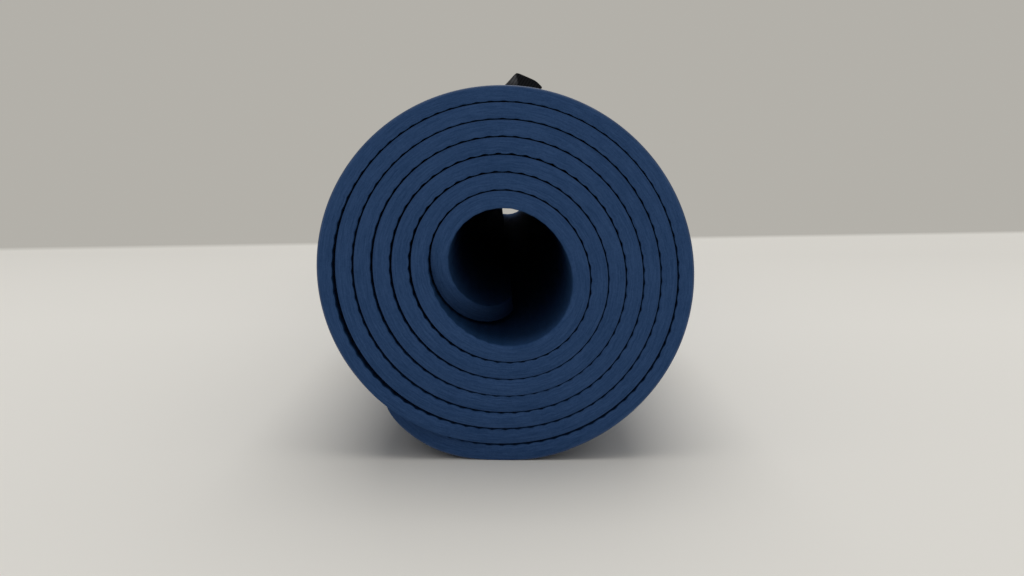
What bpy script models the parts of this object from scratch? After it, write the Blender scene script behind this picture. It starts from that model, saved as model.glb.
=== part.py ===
"""A foam exercise mat, rolled up, in a webbing carry strap.

Metres, +Z up. The roll lies along Y on the surface z = 0 with its flush end
facing -Y, and the origin is under the middle of the whole object. Two bands are
cinched round the roll, each through a ring, and a handle joins them on top.
"""

import math

import bmesh
import bpy
import numpy as np

# Mat, as it is wound
MAT_WIDTH = 0.610
MAT_THICKNESS = 0.00546
BORE_RADIUS = 0.0182
ROLL_TURNS = 7.14
OUTER_END_ANGLE = math.radians(228)
STEPS_PER_TURN = 60

# Gaps between the turns: all round, more on the left, and most under the outer end
TURN_GAP = 0.00045
LEFT_GAP = 0.0003
LEFT_GAP_ANGLE = math.radians(195)
END_GAP = 0.0008
END_GAP_TURN = 0.93
END_GAP_SPREAD_TURNS = 0.09

# How far the turns are off a true spiral, for the outermost turn and the core
OUTER_SHIFT_X = -0.0015
OUTER_SHIFT_Z = 0.0008
CORE_SHIFT_X = 0.0004
CORE_SHIFT_Z = 0.0013
OUTER_OVAL = 0.0006
CORE_OVAL = -0.0005
OUTER_SKEW_OVAL = -0.0003
CORE_SKEW_OVAL = -0.0012
WINDING_BULGE = 0.0005

# The inner end curls in, away from the turn that it lies on
CORE_CURL = 0.0035
CORE_CURL_TURNS = 0.07

# Where the roll rests, the turns above the outermost one are pushed in, and that one lies flat
REST_DENT = 0.0012
REST_DENT_SPREAD = math.radians(28)
REST_DENT_FADE_TURNS = 4.0
REST_FLAT_DEPTH = 0.0005

# The mat's corners are rounded
CORNER_RADIUS = 0.025
CORNER_STEPS = 8

# Both ends of the mat are wound a little further in than the rest
OUTER_END_SETBACK = 0.004
OUTER_SETBACK_TURNS = 0.13
CORE_SETBACK = 0.020
CORE_SETBACK_TURNS = 0.35
CORE_SETBACK_POWER = 1.2

# Webbing of the strap
WEBBING_WIDTH = 0.025
WEBBING_THICKNESS = 0.0012
CLEARANCE = 0.0003

# Bands round the roll
BAND_SPACING = 0.340
BAND_SINK = 0.0018
GROOVE_SIDE_CLEARANCE = 0.0005
PATH_SMOOTHING = 0.006
PATH_STEPS = 720
BAND_STEPS = 72
GROOVE_STEPS = 120
WRAP_STEPS = 8
SLOPE_STEPS = 5

# Rings, each between a sewn eye and the band's fold
RING_ANGLE = math.radians(45)
RING_BAR_DIAMETER = 0.0032
RING_OPENING = 0.009
RING_SIDE_CLEARANCE = 0.001
RING_CORNER_RADIUS = 0.0026
RING_CORNER_STEPS = 5

# Sewn eye and closing tab
EYE_SLOPE_LENGTH = 0.007
EYE_TAIL_LENGTH = 0.016
TAB_SLOPE_LENGTH = 0.010
TAB_LENGTH = 0.062
HOOK_START = 0.014
HOOK_LENGTH = 0.040
HOOK_THICKNESS = 0.0010
LOOP_START = 0.012
LOOP_LENGTH = 0.075
LOOP_THICKNESS = 0.0009
PATCH_MARGIN = 0.001
PATCH_STEP = 0.004

# Handle
HANDLE_RISE = 0.0238
HANDLE_LEAN = 0.010
CROWN_LENGTH = 0.150
HANDLE_STITCH_INSET = 0.003
FOLD_LEFT_WIDTH = 0.009
FOLD_LEFT_SLOPE = math.radians(48)
FOLD_RIGHT_SLOPE = math.radians(31)
HANDLE_STEP = 0.0075
HANDLE_STEPS_ACROSS = 6

# Seams
THREAD_WIDTH = 0.0008
THREAD_HEIGHT = 0.0005
SEAM_INSET = 0.0025
SEAM_STEP = 0.004

# Cutters reach this far past what they cut
OVERRUN = 0.010
# Points on which the least gap between the turns is measured
GAP_TEST_STEPS_PER_TURN = 360
GAP_TEST_REACH_STEPS = 6
# Edges sharper than this stay sharp under smooth shading
SHARP_ANGLE = math.radians(35)

FOAM = ("foam", (0.024, 0.066, 0.155), 0.75)
WEBBING = ("webbing", (0.012, 0.012, 0.013), 0.85)
RING_PLASTIC = ("ring_plastic", (0.015, 0.015, 0.016), 0.45)
HOOK_TAPE = ("hook_tape", (0.018, 0.018, 0.019), 0.70)
LOOP_TAPE = ("loop_tape", (0.022, 0.022, 0.023), 0.95)
THREAD = ("thread", (0.030, 0.030, 0.032), 0.60)

SIDES = {"near": -1, "far": 1}

turn_pitch = MAT_THICKNESS + TURN_GAP
roll_radius = BORE_RADIUS + MAT_THICKNESS + ROLL_TURNS * turn_pitch


def smooth_step(share):
    """0 to 1 with level ends, for a share that is held between them."""
    held = np.clip(share, 0.0, 1.0)
    return held * held * (3.0 - 2.0 * held)


def angle_from(angle, centre):
    """The angle past centre, between minus and plus half a turn."""
    return (angle - centre + math.pi) % math.tau - math.pi


def turn_angle(turn):
    return OUTER_END_ANGLE + turn * math.tau


def wound_side(turn):
    """Radius that a turn's outward side takes where it lies on the turn outside it."""
    angle = turn_angle(turn)
    inward = turn / ROLL_TURNS
    shift_x = OUTER_SHIFT_X + (CORE_SHIFT_X - OUTER_SHIFT_X) * inward
    shift_z = OUTER_SHIFT_Z + (CORE_SHIFT_Z - OUTER_SHIFT_Z) * inward
    oval = OUTER_OVAL + (CORE_OVAL - OUTER_OVAL) * inward
    skew = OUTER_SKEW_OVAL + (CORE_SKEW_OVAL - OUTER_SKEW_OVAL) * inward
    dent_share = np.exp(-(angle_from(angle, -math.pi / 2) / REST_DENT_SPREAD) ** 2)
    dent = REST_DENT * dent_share * np.minimum(turn, 1.0) * np.exp(-turn / REST_DENT_FADE_TURNS)
    radius = roll_radius - turn_pitch * turn - dent
    radius += 4 * WINDING_BULGE * inward * (1 - inward)
    radius += shift_x * np.cos(angle) + shift_z * np.sin(angle)
    return radius + oval * np.cos(2 * angle) + skew * np.sin(2 * angle)


def core_curl(turn):
    return CORE_CURL * np.exp((turn - ROLL_TURNS) / CORE_CURL_TURNS)


def outer_side(turn):
    """Radius of the mat's outward side, that many turns in from its outer end."""
    return wound_side(turn) - core_curl(turn)


def inner_side(turn):
    """Radius of the mat's inward side: where the next turn lies, and the gap."""
    left = np.maximum(np.cos(angle_from(turn_angle(turn), LEFT_GAP_ANGLE)), 0.0) ** 2
    under_end = np.exp(-((turn - END_GAP_TURN) / END_GAP_SPREAD_TURNS) ** 2)
    gap = TURN_GAP + LEFT_GAP * left + END_GAP * under_end
    return wound_side(turn + 1) + gap - core_curl(turn)


def winding_setback(turn):
    """How far along the roll a turn sits in from the flush end."""
    outer = OUTER_END_SETBACK * smooth_step(1 - turn / OUTER_SETBACK_TURNS)
    into_core = np.clip((turn - ROLL_TURNS) / CORE_SETBACK_TURNS + 1, 0.0, 1.0)
    return outer + CORE_SETBACK * into_core ** CORE_SETBACK_POWER


def corner_setback(turn):
    """How far the rounded corners take both long edges in."""
    from_outer_end = turn * math.tau * roll_radius
    from_inner_end = (ROLL_TURNS - turn) * math.tau * (BORE_RADIUS + MAT_THICKNESS / 2)
    into_corner = np.maximum(CORNER_RADIUS - np.minimum(from_outer_end, from_inner_end), 0.0)
    return CORNER_RADIUS - np.sqrt(np.maximum(CORNER_RADIUS ** 2 - into_corner ** 2, 0.0))


def mat_turns():
    """Turns at which the mat has its points: even, but closer together round its corners."""
    round_corner = 1 - np.cos(np.linspace(0, math.pi / 2, CORNER_STEPS + 1))
    outer = CORNER_RADIUS / (math.tau * roll_radius)
    inner = CORNER_RADIUS / (math.tau * (BORE_RADIUS + MAT_THICKNESS / 2))
    steps = round((ROLL_TURNS - outer - inner) * STEPS_PER_TURN)
    between = np.linspace(outer, ROLL_TURNS - inner, steps + 1)
    return np.concatenate((outer * round_corner[:-1], between, ROLL_TURNS - inner * round_corner[-2::-1]))


def polar(radius, angle):
    return np.stack((radius * np.cos(angle), radius * np.sin(angle)), axis=-1)


def least_turn_gap():
    """Least gap between neighbouring turns, square to the mat, on points."""
    turns = np.arange(0, ROLL_TURNS - 1, 1 / GAP_TEST_STEPS_PER_TURN)
    inside = polar(inner_side(turns), turn_angle(turns))
    window = np.arange(-GAP_TEST_REACH_STEPS, GAP_TEST_REACH_STEPS + 1) / GAP_TEST_STEPS_PER_TURN
    near_turns = np.clip(turns[:, None] + 1 + window, 0, ROLL_TURNS)
    outside = polar(outer_side(near_turns), turn_angle(near_turns))
    return float(np.linalg.norm(outside - inside[:, None, :], axis=2).min())


def convex_hull(points):
    """Corners of the points' convex hull, anticlockwise."""
    ordered = sorted(map(tuple, points))

    def chain(run):
        corners = []
        for point in run:
            while len(corners) > 1:
                (ax, az), (bx, bz) = corners[-2:]
                if (bx - ax) * (point[1] - az) - (bz - az) * (point[0] - ax) > 0:
                    break
                corners.pop()
            corners.append(point)
        return corners[:-1]

    return np.array(chain(ordered) + chain(ordered[::-1]))


class TautPath:
    """The line that a taut band takes round the roll, measured along itself."""

    def __init__(self):
        turns = np.linspace(0, 1, PATH_STEPS)
        hull = convex_hull(polar(outer_side(turns), turn_angle(turns)))
        closed = np.vstack((hull, hull[:1]))
        reach = self.lengths(closed)
        even = np.linspace(0, reach[-1], PATH_STEPS, endpoint=False)
        line = np.stack([np.interp(even, reach, closed[:, axis]) for axis in (0, 1)], axis=1)
        half = max(1, round(PATH_SMOOTHING / (reach[-1] / PATH_STEPS) / 2))
        line = sum(np.roll(line, step, axis=0) for step in range(-half, half + 1)) / (2 * half + 1)
        start = int(np.argmin(np.abs(np.arctan2(line[:, 1], line[:, 0]))))
        self.points = np.roll(line, -start, axis=0)
        ahead = np.roll(self.points, -1, axis=0) - np.roll(self.points, 1, axis=0)
        ahead /= np.linalg.norm(ahead, axis=1)[:, None]
        self.normals = np.stack((ahead[:, 1], -ahead[:, 0]), axis=1)
        self.stations = self.lengths(np.vstack((self.points, self.points[:1])))
        self.length = self.stations[-1]

    @staticmethod
    def lengths(points):
        steps = np.linalg.norm(np.diff(points, axis=0), axis=1)
        return np.concatenate(([0.0], np.cumsum(steps)))

    def along_at(self, angle):
        """Distance along the path, anticlockwise from +X, of the point at that angle."""
        angles = np.unwrap(np.arctan2(self.points[:, 1], self.points[:, 0]))
        return float(np.interp(angle, angles, self.stations[:-1]))

    def interpolate(self, values, along):
        ring = np.vstack((values, values[:1]))
        wrapped = np.mod(along, self.length)
        return np.stack([np.interp(wrapped, self.stations, ring[:, axis]) for axis in (0, 1)], axis=-1)

    def normal(self, along):
        found = self.interpolate(self.normals, along)
        return found / np.linalg.norm(found, axis=-1, keepdims=True)

    def place(self, along, height):
        """The point (x, z) that far along the path and that high over it."""
        along = np.asarray(along, dtype=float)
        height = np.broadcast_to(height, along.shape)
        return self.interpolate(self.points, along) + self.normal(along) * height[..., None]


path = TautPath()

# Heights over the roll's surface, each of a layer's middle
band_height = WEBBING_THICKNESS / 2 - BAND_SINK
band_top = band_height + WEBBING_THICKNESS / 2
groove_height = -BAND_SINK - CLEARANCE
bar_radius = RING_BAR_DIAMETER / 2
wrap_radius = bar_radius + CLEARANCE + WEBBING_THICKNESS / 2
bar_height = band_height + wrap_radius
fold_height = bar_height + wrap_radius
sewn_height = band_top + CLEARANCE + WEBBING_THICKNESS / 2
loop_height = band_top + CLEARANCE + LOOP_THICKNESS / 2
hook_height = loop_height + (LOOP_THICKNESS + HOOK_THICKNESS) / 2 + CLEARANCE
tab_height = hook_height + (HOOK_THICKNESS + WEBBING_THICKNESS) / 2 + CLEARANCE

# Places along the path
bar_spacing = RING_OPENING + RING_BAR_DIAMETER
ring_along = path.along_at(RING_ANGLE)
eye_along = ring_along + bar_spacing / 2
fold_along = ring_along - bar_spacing / 2
top_along = path.along_at(math.pi / 2)

# The roll's axis in the object's frame, with the object's box centred on the origin
tab_seam_height = tab_height + WEBBING_THICKNESS / 2 + CLEARANCE
hook_alongs = fold_along - HOOK_START - np.linspace(0, HOOK_LENGTH, PATH_STEPS)
tab_reach = path.place(hook_alongs, tab_seam_height + THREAD_HEIGHT)
all_round = np.linspace(0, 1, PATH_STEPS)
outline = polar(outer_side(all_round), turn_angle(all_round))
roll_x = -(max(tab_reach[:, 0].max(), outline[:, 0].max()) + outline[:, 0].min()) / 2
roll_z = -outline[:, 1].min() - REST_FLAT_DEPTH
end_reach = float((winding_setback(mat_turns()) - corner_setback(mat_turns())).max())
near_end_y = -(MAT_WIDTH + end_reach) / 2
middle_y = near_end_y + MAT_WIDTH / 2
roll_top_z = roll_z + float(path.place(top_along, 0.0)[1])


def band_y(side):
    return middle_y + SIDES[side] * BAND_SPACING / 2


def new_collection(name):
    found = bpy.data.collections.new(name)
    bpy.context.scene.collection.children.link(found)
    return found


def material(finish):
    name, colour, roughness = finish
    if name in bpy.data.materials:
        return bpy.data.materials[name]
    made = bpy.data.materials.new(name)
    made.use_nodes = True
    shader = made.node_tree.nodes["Principled BSDF"]
    shader.inputs["Base Color"].default_value = (*colour, 1.0)
    shader.inputs["Roughness"].default_value = roughness
    shader.inputs["Metallic"].default_value = 0.0
    made.diffuse_color = (*colour, 1.0)
    return made


def add_object(name, data, finish, collection):
    piece = bpy.data.objects.new(name, data)
    if finish:
        data.materials.append(material(finish))
    collection.objects.link(piece)
    return piece


def add_mesh(name, bm, finish, collection):
    """An object from the bmesh, moved from the roll's own axes to the object's frame."""
    bmesh.ops.translate(bm, verts=bm.verts, vec=(roll_x, 0.0, roll_z))
    data = bpy.data.meshes.new(name)
    bm.to_mesh(data)
    bm.free()
    data.shade_smooth()
    data.set_sharp_from_angle(angle=SHARP_ANGLE)
    return add_object(name, data, finish, collection)


def face_outward(bm):
    """Turn a closed shape's faces outward."""
    bmesh.ops.recalc_face_normals(bm, faces=bm.faces)
    if bm.calc_volume(signed=True) < 0:
        bmesh.ops.reverse_faces(bm, faces=bm.faces)


def ribbon(name, route, width, thickness, centre_y, finish, collection, cyclic=False):
    """A strip of even thickness whose middle follows the route's (x, z) points."""
    bm = bmesh.new()
    verts = [bm.verts.new((x, centre_y - width / 2, z)) for x, z in route]
    pairs = list(zip(verts, verts[1:]))
    if cyclic:
        pairs.append((verts[-1], verts[0]))
    edges = [bm.edges.new(pair) for pair in pairs]
    swept = bmesh.ops.extrude_edge_only(bm, edges=edges)["geom"]
    moved = [item for item in swept if isinstance(item, bmesh.types.BMVert)]
    bmesh.ops.translate(bm, verts=moved, vec=(0.0, width, 0.0))
    bmesh.ops.recalc_face_normals(bm, faces=bm.faces)
    piece = add_mesh(name, bm, finish, collection)
    wall = piece.modifiers.new("Webbing thickness", "SOLIDIFY")
    wall.thickness = thickness
    wall.offset = 0.0
    wall.use_even_offset = True
    return piece


def slab(length_steps):
    """A closed unit slab: x from 0 to 1 in steps, y and z from 0 to 1."""
    bm = bmesh.new()
    bmesh.ops.create_cube(bm, size=1.0)
    bmesh.ops.translate(bm, verts=bm.verts, vec=(0.5, 0.5, 0.5))
    lengthwise = [edge for edge in bm.edges if edge.verts[0].co.x != edge.verts[1].co.x]
    bmesh.ops.subdivide_edges(bm, edges=lengthwise, cuts=length_steps - 1, use_grid_fill=True)
    return bm


def cut(piece, cutter):
    cutter.hide_render = True
    cutter.display_type = "WIRE"
    difference = piece.modifiers.new("Cut " + cutter.name, "BOOLEAN")
    difference.operation = "DIFFERENCE"
    difference.solver = "EXACT"
    difference.object = cutter


def box_cutter(name, centre, size, turned, collection):
    """A box on the roll's own axes, turned about Y."""
    bm = bmesh.new()
    bmesh.ops.create_cube(bm, size=1.0)
    bmesh.ops.scale(bm, vec=size, verts=bm.verts)
    cosine, sine = math.cos(turned), math.sin(turned)
    for vert in bm.verts:
        x, y, z = vert.co
        vert.co = (centre[0] + x * cosine - z * sine, centre[1] + y, centre[2] + x * sine + z * cosine)
    face_outward(bm)
    return add_mesh(name, bm, None, collection)


def make_mat(parts, cutters):
    """The mat as a flat slab, rolled up point by point, then pressed in by the strap."""
    turns = mat_turns()
    bm = slab(len(turns) - 1)
    for vert in bm.verts:
        turn = turns[round(vert.co.x * (len(turns) - 1))]
        radius = outer_side(turn) if vert.co.z > 0.5 else inner_side(turn)
        x, z = polar(radius, turn_angle(turn))
        along = vert.co.y * MAT_WIDTH + (1 - 2 * vert.co.y) * corner_setback(turn)
        vert.co = (x, near_end_y + winding_setback(turn) + along, z)
    face_outward(bm)
    mat = add_mesh("mat_roll", bm, FOAM, parts)
    groove_depth = OVERRUN - groove_height
    for side in SIDES:
        alongs = np.linspace(0, path.length, GROOVE_STEPS, endpoint=False)
        route = path.place(alongs, groove_height + groove_depth / 2)
        width = WEBBING_WIDTH + 2 * GROOVE_SIDE_CLEARANCE
        cut(mat, ribbon(side + "_groove", route, width, groove_depth, band_y(side), None, cutters, True))
        cut(mat, ring_pocket(side, cutters))
    floor_size = (2 * roll_radius, MAT_WIDTH + end_reach + 2 * OVERRUN, OVERRUN)
    floor_centre = (0.0, 0.0, -roll_z - OVERRUN / 2)
    cut(mat, box_cutter("floor", floor_centre, floor_size, 0.0, cutters))


def ring_frame():
    """Middle of the ring, the direction from its fold bar to its eye bar, and its tilt."""
    eye_bar = path.place(eye_along, bar_height)
    fold_bar = path.place(fold_along, bar_height)
    middle = (eye_bar + fold_bar) / 2
    ahead = eye_bar - fold_bar
    half_length = float(np.linalg.norm(ahead)) / 2
    return middle, ahead / (2 * half_length), half_length


def ring_half_width():
    return WEBBING_WIDTH / 2 + RING_SIDE_CLEARANCE + bar_radius


def ring_pocket(side, cutters):
    """The dent that the ring presses in the foam."""
    middle, ahead, half_length = ring_frame()
    outward = np.array((ahead[1], -ahead[0]))
    low = -bar_radius - CLEARANCE
    centre = middle + outward * (low + OVERRUN / 2)
    margin = bar_radius + CLEARANCE
    size = (2 * (half_length + margin), 2 * (ring_half_width() + margin), OVERRUN)
    turned = math.atan2(ahead[1], ahead[0]) + math.pi
    return box_cutter(side + "_ring_pocket", (centre[0], band_y(side), centre[1]), size, turned, cutters)


def make_ring(side, parts):
    """A rectangular ring of round bar, its corners rounded."""
    middle, ahead, half_length = ring_frame()
    half_width = ring_half_width()
    curve = bpy.data.curves.new(side + "_ring", "CURVE")
    curve.dimensions = "3D"
    curve.bevel_depth = bar_radius
    curve.bevel_resolution = 3
    corners = []
    for quarter in range(4):
        length_sign = 1 if quarter in (0, 3) else -1
        width_sign = 1 if quarter in (0, 1) else -1
        for step in range(RING_CORNER_STEPS + 1):
            angle = math.pi / 2 * (quarter + step / RING_CORNER_STEPS)
            length = length_sign * (half_length - RING_CORNER_RADIUS) + RING_CORNER_RADIUS * math.cos(angle)
            width = width_sign * (half_width - RING_CORNER_RADIUS) + RING_CORNER_RADIUS * math.sin(angle)
            corners.append((middle[0] + ahead[0] * length, band_y(side) + width, middle[1] + ahead[1] * length))
    spline = curve.splines.new("POLY")
    spline.points.add(len(corners) - 1)
    for point, (x, y, z) in zip(spline.points, corners):
        point.co = (x + roll_x, y, z + roll_z, 1.0)
    spline.use_cyclic_u = True
    add_object(side + "_ring", curve, RING_PLASTIC, parts)


def wrap_points(bar_along, towards):
    """Half a turn round a bar, from over it to under it, on the side towards the slot."""
    centre = path.place(bar_along, bar_height)
    outward = path.normal(bar_along)
    ahead = np.array((-outward[1], outward[0])) * towards
    angles = np.linspace(math.pi / 2, -math.pi / 2, WRAP_STEPS + 1)
    return [centre + wrap_radius * (math.cos(a) * ahead + math.sin(a) * outward) for a in angles]


def make_band(side, parts):
    """Sewn eye, the run round the roll, and the fold under and over the other bar."""
    tail_end = eye_along + EYE_SLOPE_LENGTH + EYE_TAIL_LENGTH
    tail = np.linspace(tail_end, eye_along + EYE_SLOPE_LENGTH, SLOPE_STEPS, endpoint=False)
    slope = np.linspace(EYE_SLOPE_LENGTH, 0, SLOPE_STEPS + 1)[:-1]
    drop = smooth_step(slope / EYE_SLOPE_LENGTH)
    slope_height = fold_height + (sewn_height - fold_height) * drop
    run = np.linspace(eye_along, fold_along + path.length, BAND_STEPS + 1)[1:-1]
    route = [
        *path.place(tail, sewn_height),
        *path.place(eye_along + slope, slope_height),
        *wrap_points(eye_along, -1),
        *path.place(run, band_height),
        *wrap_points(fold_along, 1)[::-1],
    ]
    ribbon(side + "_band", route, WEBBING_WIDTH, WEBBING_THICKNESS, band_y(side), WEBBING, parts)


def tab_route(start, end):
    """Points over the closed tab, from one distance past the fold to another."""
    steps = max(2, math.ceil((end - start) / PATCH_STEP))
    past = np.linspace(start, end, steps + 1)
    if start < TAB_SLOPE_LENGTH < end:
        slope = np.linspace(start, TAB_SLOPE_LENGTH, SLOPE_STEPS + 1)
        past = np.concatenate((slope, past[past > TAB_SLOPE_LENGTH]))
    height = fold_height + (tab_height - fold_height) * smooth_step(past / TAB_SLOPE_LENGTH)
    return path.place(fold_along - past, height)


def make_tab(side, parts):
    """The band's end, folded back over the ring's bar, with its hook and loop patches."""
    route = tab_route(CLEARANCE, TAB_LENGTH)
    ribbon(side + "_tab", route, WEBBING_WIDTH, WEBBING_THICKNESS, band_y(side), WEBBING, parts)
    width = WEBBING_WIDTH - 2 * PATCH_MARGIN
    patches = (
        ("_hook_patch", HOOK_START, HOOK_LENGTH, HOOK_THICKNESS, hook_height, HOOK_TAPE),
        ("_loop_patch", LOOP_START, LOOP_LENGTH, LOOP_THICKNESS, loop_height, LOOP_TAPE),
    )
    for name, start, length, thickness, height, finish in patches:
        steps = math.ceil(length / PATCH_STEP)
        alongs = fold_along - np.linspace(start, start + length, steps + 1)
        ribbon(side + name, path.place(alongs, height), width, thickness, band_y(side), finish, parts)


def handle_half_span():
    """From the middle of the handle to the seam where it leaves the band."""
    return BAND_SPACING / 2 - WEBBING_WIDTH / 2 + HANDLE_STITCH_INSET


def handle_point(across, y):
    """Middle of the handle's webbing: flat on the bands, raised and creased between them."""
    from_middle = min(abs(y - middle_y) / handle_half_span(), 1.0)
    raised = math.cos(math.pi / 2 * from_middle)
    sewn = path.place(top_along - across, sewn_height)
    ridge = FOLD_LEFT_WIDTH - WEBBING_WIDTH / 2
    off_ridge = across - ridge
    slope = FOLD_LEFT_SLOPE if off_ridge < 0 else FOLD_RIGHT_SLOPE
    top_x, top_z = path.place(top_along, sewn_height)
    creased = np.array((top_x + ridge + HANDLE_LEAN + off_ridge * math.cos(slope),
                        top_z + HANDLE_RISE - abs(off_ridge) * math.sin(slope)))
    x, z = sewn + (creased - sewn) * raised
    return x, y, z


def handle_piece(name, y_start, y_end, parts):
    """A length of the handle's webbing between two places along the roll."""
    ridge_share = FOLD_LEFT_WIDTH / WEBBING_WIDTH
    left_steps = max(1, round(HANDLE_STEPS_ACROSS * ridge_share))
    right_steps = HANDLE_STEPS_ACROSS - left_steps
    shares = np.concatenate((np.linspace(0, ridge_share, left_steps, endpoint=False),
                             np.linspace(ridge_share, 1, right_steps + 1)))
    stations = [y_start, y_end]
    for sign in (-1, 1):
        kink = middle_y + sign * handle_half_span()
        if y_start < kink < y_end:
            stations.append(kink)
    stations.sort()
    ys = [y_start]
    for low, high in zip(stations, stations[1:]):
        ys.extend(np.linspace(low, high, math.ceil((high - low) / HANDLE_STEP) + 1)[1:])
    bm = bmesh.new()
    row = [bm.verts.new(handle_point((share - 0.5) * WEBBING_WIDTH, ys[0])) for share in shares]
    edges = [bm.edges.new(pair) for pair in zip(row, row[1:])]
    for y in ys[1:]:
        swept = bmesh.ops.extrude_edge_only(bm, edges=edges)["geom"]
        edges = [item for item in swept if isinstance(item, bmesh.types.BMEdge)]
        row = [item for item in swept if isinstance(item, bmesh.types.BMVert)]
        for vert, share in zip(sorted(row, key=lambda v: v.co.x), shares):
            vert.co = handle_point((share - 0.5) * WEBBING_WIDTH, y)
    bmesh.ops.recalc_face_normals(bm, faces=bm.faces)
    piece = add_mesh(name, bm, WEBBING, parts)
    wall = piece.modifiers.new("Webbing thickness", "SOLIDIFY")
    wall.thickness = WEBBING_THICKNESS
    wall.offset = 0.0
    wall.use_even_offset = True


def make_handle(parts):
    ends = BAND_SPACING / 2 + WEBBING_WIDTH / 2
    crown = CROWN_LENGTH / 2
    handle_piece("handle_crown", middle_y - crown, middle_y + crown, parts)
    handle_piece("handle_near_leg", middle_y - ends, middle_y - crown - CLEARANCE, parts)
    handle_piece("handle_far_leg", middle_y + crown + CLEARANCE, middle_y + ends, parts)


def seam(name, centre_along, centre_y, length, width, height, crossed, parts):
    """A seam's outline, with a cross in it or not, lying over the webbing."""
    bm = bmesh.new()
    half_length, half_width = length / 2, width / 2
    loops = [[(-half_length, -half_width), (half_length, -half_width),
              (half_length, half_width), (-half_length, half_width)]]
    inner_length, inner_width = half_length - THREAD_WIDTH, half_width - THREAD_WIDTH
    if crossed:
        slant = math.hypot(inner_length, inner_width) * THREAD_WIDTH / 2
        by_length, by_width = slant / inner_width, slant / inner_length
        for sign in (-1, 1):
            loops.append([(sign * by_length, 0.0), (sign * inner_length, inner_width - by_width),
                          (sign * inner_length, by_width - inner_width)])
            loops.append([(0.0, sign * by_width), (inner_length - by_length, sign * inner_width),
                          (by_length - inner_length, sign * inner_width)])
    else:
        loops.append([(-inner_length, -inner_width), (inner_length, -inner_width),
                      (inner_length, inner_width), (-inner_length, inner_width)])
    for loop in loops:
        verts = [bm.verts.new((x, y, 0.0)) for x, y in loop]
        for start, end in zip(verts, verts[1:] + verts[:1]):
            bm.edges.new((start, end))
    bmesh.ops.triangle_fill(bm, edges=bm.edges, use_beauty=True)
    cuts = math.ceil(length / SEAM_STEP)
    for step in range(1, cuts):
        geometry = bm.verts[:] + bm.edges[:] + bm.faces[:]
        place = length * (step / cuts - 0.5)
        bmesh.ops.bisect_plane(bm, geom=geometry, plane_co=(place, 0, 0), plane_no=(1, 0, 0))
    grown = bmesh.ops.extrude_face_region(bm, geom=bm.faces[:])["geom"]
    moved = [item for item in grown if isinstance(item, bmesh.types.BMVert)]
    bmesh.ops.translate(bm, verts=moved, vec=(0.0, 0.0, THREAD_HEIGHT))
    for vert in bm.verts:
        x, z = path.place(centre_along + vert.co.x, height + vert.co.z)
        vert.co = (x, centre_y + vert.co.y, z)
    face_outward(bm)
    add_mesh(name, bm, THREAD, parts)


def make_seams(side, parts):
    """Threads that close the eye, hold the hook patch, and hold the handle's end."""
    over = WEBBING_THICKNESS / 2 + CLEARANCE
    across = WEBBING_WIDTH - 2 * SEAM_INSET
    tail_middle = eye_along + EYE_SLOPE_LENGTH + EYE_TAIL_LENGTH / 2
    seam(side + "_eye_stitch", tail_middle, band_y(side), EYE_TAIL_LENGTH - SEAM_INSET, across,
         sewn_height + over, True, parts)
    hook_middle = fold_along - HOOK_START - HOOK_LENGTH / 2
    seam(side + "_tab_stitch", hook_middle, band_y(side), HOOK_LENGTH - SEAM_INSET, across,
         tab_seam_height, False, parts)
    seam(side + "_handle_stitch", top_along, band_y(side), across, across - HANDLE_STITCH_INSET,
         sewn_height + over, True, parts)


def build():
    for old in list(bpy.data.objects):
        bpy.data.objects.remove(old)
    parts = new_collection("rolled_mat")
    cutters = new_collection("cutters")
    make_mat(parts, cutters)
    for side in SIDES:
        make_band(side, parts)
        make_ring(side, parts)
        make_tab(side, parts)
        make_seams(side, parts)
    make_handle(parts)
    print(f"Least gap between the mat's turns: {least_turn_gap() * 1000:.3f} mm")


build()
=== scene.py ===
"""The looks of a rolled foam exercise mat in a webbing carry strap.

Metres, in the CAD model's own frame: the roll lies along Y on z = 0 with its
flush end facing -Y. The soft pieces are laid out flat as blanks and then rolled
up or laid round the roll, and each keeps its flat coordinates in the attribute
"flat" (along, across, height), which its material reads.
"""

import math

import bmesh
import bpy
import numpy as np
from mathutils import Matrix, Vector

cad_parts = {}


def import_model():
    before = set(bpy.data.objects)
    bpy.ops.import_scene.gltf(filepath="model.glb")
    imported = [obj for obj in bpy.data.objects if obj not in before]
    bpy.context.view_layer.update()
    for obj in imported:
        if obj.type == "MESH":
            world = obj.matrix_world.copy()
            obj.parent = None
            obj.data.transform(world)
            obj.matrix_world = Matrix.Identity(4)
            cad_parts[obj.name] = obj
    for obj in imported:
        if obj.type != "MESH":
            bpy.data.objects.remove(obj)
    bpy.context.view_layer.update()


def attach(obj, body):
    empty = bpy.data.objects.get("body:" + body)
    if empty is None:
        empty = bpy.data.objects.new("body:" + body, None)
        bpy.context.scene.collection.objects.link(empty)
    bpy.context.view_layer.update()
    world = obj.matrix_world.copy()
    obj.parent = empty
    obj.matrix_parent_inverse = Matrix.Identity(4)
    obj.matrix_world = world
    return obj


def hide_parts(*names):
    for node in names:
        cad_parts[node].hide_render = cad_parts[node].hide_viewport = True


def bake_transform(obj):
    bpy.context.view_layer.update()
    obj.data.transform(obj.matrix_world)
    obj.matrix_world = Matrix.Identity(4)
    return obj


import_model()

MM = 0.001

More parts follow.
